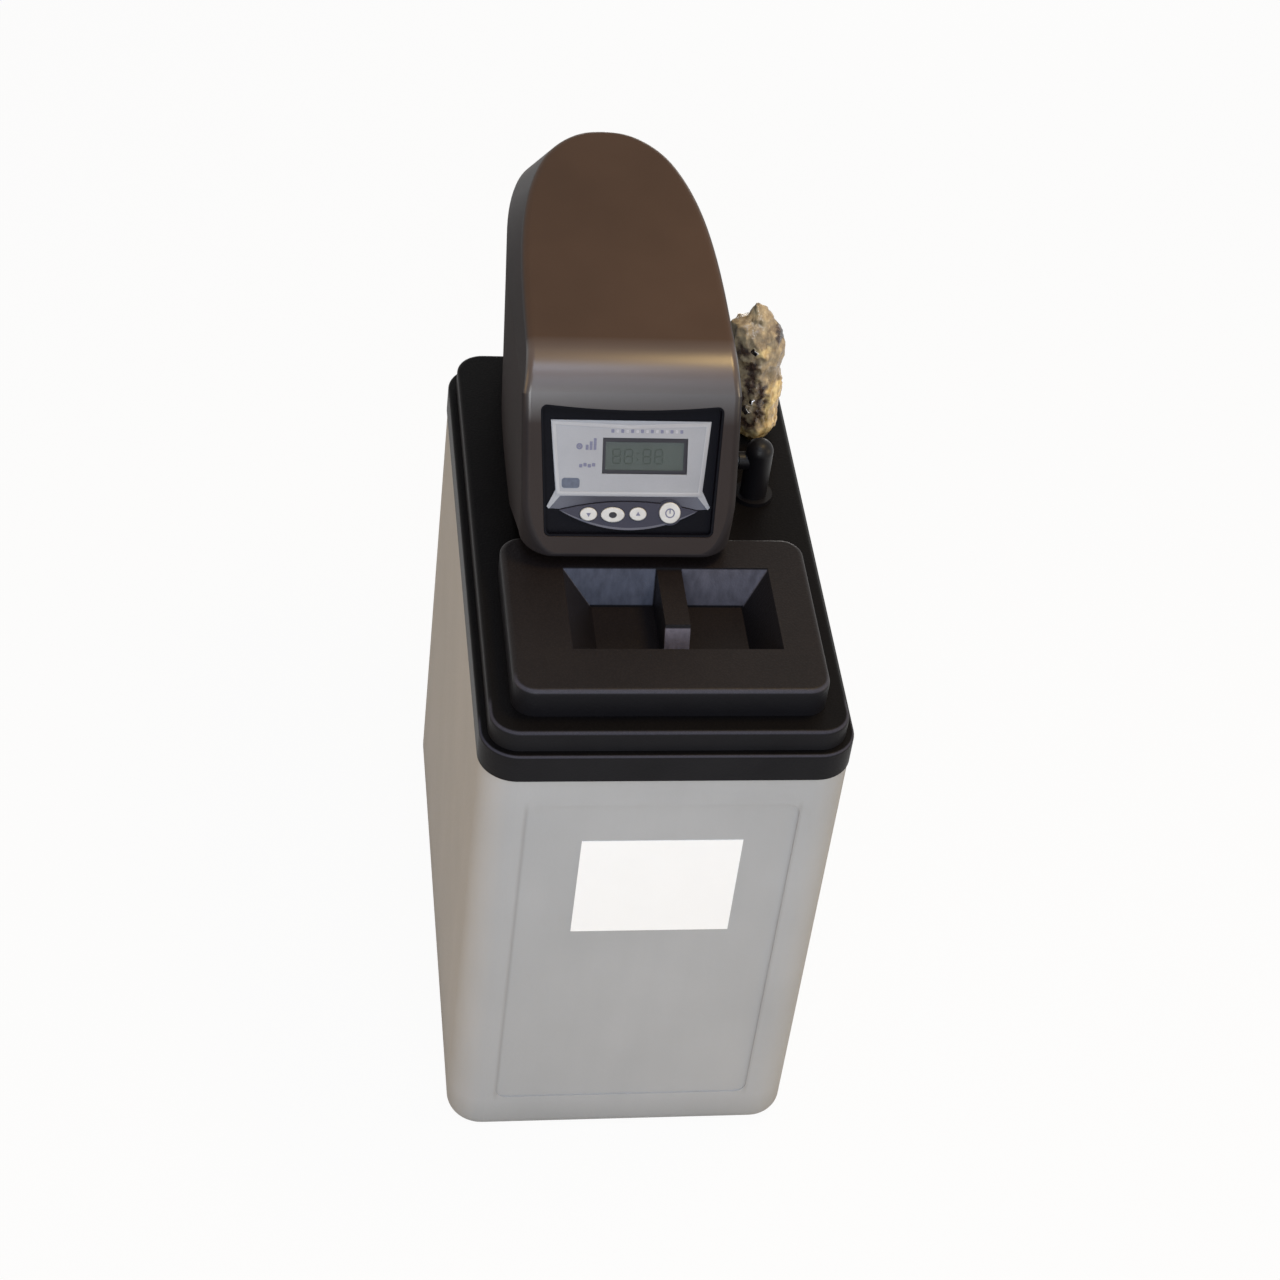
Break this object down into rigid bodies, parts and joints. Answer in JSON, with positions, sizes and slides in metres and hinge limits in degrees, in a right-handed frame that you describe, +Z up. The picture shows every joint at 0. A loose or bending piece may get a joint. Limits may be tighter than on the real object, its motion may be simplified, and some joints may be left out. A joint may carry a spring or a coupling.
{
  "type": "water softener",
  "caption": "Compact cabinet water softener with a salt lid, a leaning display head, a cam-driven valve and a resin tank inside.",
  "frame": {"origin": "centre of the cabinet's underside, which stands on the floor", "axes": "+X to the right of someone facing the display, +Y to the rear, +Z up"},
  "size_m": [0.31, 0.601, 0.7127],
  "materials": {
    "cabinet_grey": "fine grain",
    "label_white": "printed paper",
    "cover_black": "grained",
    "lid_black": "grained",
    "pin_steel": "drawn",
    "tank_blue": "wound and painted",
    "boot_black": "moulded",
    "pvc_white": "extruded",
    "strainer_grey": "moulded",
    "resin_amber": "beads",
    "seal_rubber": "moulded",
    "float_red": "moulded",
    "head_charcoal": "satin",
    "bezel_black": "satin",
    "fascia_grey": "satin",
    "window_clear": "clear",
    "display_green": "liquid crystal",
    "panel_grey": "satin",
    "button_white": "moulded",
    "board_green": "solder mask",
    "valve_black": "glass filled",
    "valve_grey": "glass filled",
    "cam_cream": "moulded",
    "motor_steel": "pressed",
    "film_clear": "thin clear film",
    "brass": "turned",
    "nut_chrome": "plated",
    "plunger_white": "moulded"
  },
  "bodies": {
    "cabinet": {"cabinet_shell": "cabinet_grey", "front_label": "label_white", "cabinet_cover": "cover_black", "lid_hinge_pins": "pin_steel", "resin_tank": "tank_blue", "tank_boot": "boot_black", "riser_tube": "pvc_white", "bottom_strainer": "strainer_grey", "top_strainer": "strainer_grey", "resin_bed": "resin_amber", "neck_seal": "seal_rubber", "brine_well": "pvc_white", "brine_well_cap": "boot_black", "air_check": "pvc_white", "float_rod": "pin_steel", "salt_grid": "strainer_grey", "overflow_elbow": "boot_black", "overflow_nut": "boot_black", "head_cover": "head_charcoal", "control_bezel": "bezel_black", "fascia_plate": "fascia_grey", "display_window": "window_clear", "display_module": "display_green", "button_panel": "panel_grey", "circuit_board": "board_green", "board_screws": "pin_steel", "valve_body": "valve_black", "valve_top_plate": "valve_grey", "drive_motor": "motor_steel", "motor_bracket": "motor_steel", "injector": "valve_grey", "drain_barb": "pvc_white", "port_seals": "seal_rubber", "brine_elbow": "valve_black", "brine_line": "pvc_white", "film_bag": "film_clear", "hose_tail": "brass", "loose_nut": "nut_chrome"},
    "lid": {"salt_lid": "lid_black"},
    "left_key": {"button_left": "button_white"},
    "select_key": {"button_select": "button_white"},
    "right_key": {"button_right": "button_white"},
    "round_key": {"button_round": "button_white"},
    "cam": {"camshaft": "cam_cream", "cam_gear": "cam_cream"},
    "pinion": {"motor_pinion": "cam_cream"},
    "float": {"brine_float": "float_red"},
    "piston_1": {"plunger_1": "plunger_white"},
    "piston_2": {"plunger_2": "plunger_white"},
    "piston_3": {"plunger_3": "plunger_white"},
    "piston_4": {"plunger_4": "plunger_white"},
    "piston_5": {"plunger_5": "plunger_white"},
    "piston_6": {"plunger_6": "plunger_white"}
  },
  "joints": [
    {"name": "lid_hinge", "type": "hinge", "parent": "cabinet", "child": "lid", "pos_m": [0, -0.033, 0.507], "axis": [-1, 0, 0], "range_deg": [0, 11]},
    {"name": "button_left_press", "type": "slide", "parent": "cabinet", "child": "left_key", "axis": [0, 0.866, -0.5], "range_m": [0, 0.0012], "stiffness_N_per_m": 400, "springref_m": -0.001},
    {"name": "button_select_press", "type": "slide", "parent": "cabinet", "child": "select_key", "axis": [0, 0.866, -0.5], "range_m": [0, 0.0012], "stiffness_N_per_m": 400, "springref_m": -0.001},
    {"name": "button_right_press", "type": "slide", "parent": "cabinet", "child": "right_key", "axis": [0, 0.866, -0.5], "range_m": [0, 0.0012], "stiffness_N_per_m": 400, "springref_m": -0.001},
    {"name": "button_round_press", "type": "slide", "parent": "cabinet", "child": "round_key", "axis": [0, 0.866, -0.5], "range_m": [0, 0.0012], "stiffness_N_per_m": 400, "springref_m": -0.001},
    {"name": "cam_turn", "type": "hinge", "parent": "cabinet", "child": "cam", "pos_m": [-0.025, 0.14, 0.65], "axis": [0, 1, 0], "continuous": true},
    {"name": "pinion_turn", "type": "hinge", "parent": "cabinet", "child": "pinion", "pos_m": [-0.00918, 0.029, 0.62259], "axis": [0, 1, 0], "continuous": true},
    {"name": "float_rise", "type": "slide", "parent": "cabinet", "child": "float", "axis": [0, 0, 1], "range_m": [0, 0.2]},
    {"name": "plunger_1_travel", "type": "slide", "parent": "cabinet", "child": "piston_1", "axis": [0, 0, 1], "range_m": [0, 0.002], "stiffness_N_per_m": 600, "springref_m": 0.004},
    {"name": "plunger_2_travel", "type": "slide", "parent": "cabinet", "child": "piston_2", "axis": [0, 0, 1], "range_m": [0, 0.002], "stiffness_N_per_m": 600, "springref_m": 0.004},
    {"name": "plunger_3_travel", "type": "slide", "parent": "cabinet", "child": "piston_3", "axis": [0, 0, 1], "range_m": [0, 0.002], "stiffness_N_per_m": 600, "springref_m": 0.004},
    {"name": "plunger_4_travel", "type": "slide", "parent": "cabinet", "child": "piston_4", "axis": [0, 0, 1], "range_m": [0, 0.002], "stiffness_N_per_m": 600, "springref_m": 0.004},
    {"name": "plunger_5_travel", "type": "slide", "parent": "cabinet", "child": "piston_5", "axis": [0, 0, 1], "range_m": [0, 0.002], "stiffness_N_per_m": 600, "springref_m": 0.004},
    {"name": "plunger_6_travel", "type": "slide", "parent": "cabinet", "child": "piston_6", "axis": [0, 0, 1], "range_m": [0, 0.002], "stiffness_N_per_m": 600, "springref_m": 0.004}
  ],
  "couplings": [
    {"joint": "pinion_turn", "follows": "cam_turn", "ratio": -3.2}
  ]
}
